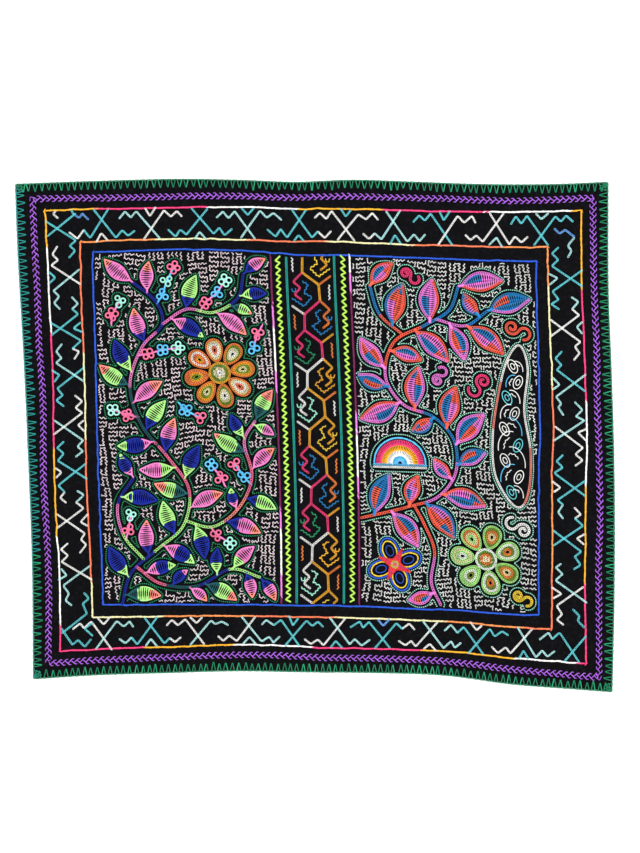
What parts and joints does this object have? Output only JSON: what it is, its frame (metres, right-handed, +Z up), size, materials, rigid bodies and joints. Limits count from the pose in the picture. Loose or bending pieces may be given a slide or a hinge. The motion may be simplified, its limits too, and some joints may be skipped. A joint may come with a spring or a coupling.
{
  "type": "embroidered cloth",
  "caption": "Flat rectangular black cotton cloth embroidered all over in bright thread, with a border of crossed lines, a braided row and a stitched edging; lies face up.",
  "frame": {"origin": "on the surface the cloth lies on, under the middle of its outline", "axes": "+X along the long side, towards the right as seen from above; +Y along the short side, towards the top edge; +Z up, out of the embroidered face"},
  "size_m": [0.7099, 0.6076, 0.0049],
  "materials": {
    "cloth": "matt black cotton twill with raised rows of coloured embroidery thread",
    "edging_thread": "soft green mercerised cotton thread in stitches over the rim",
    "embroidery_thread": "mercerised cotton embroidery thread in many bright colours"
  },
  "bodies": {
    "root": {"cloth": "cloth", "edging": "edging_thread"}
  },
  "joints": []
}
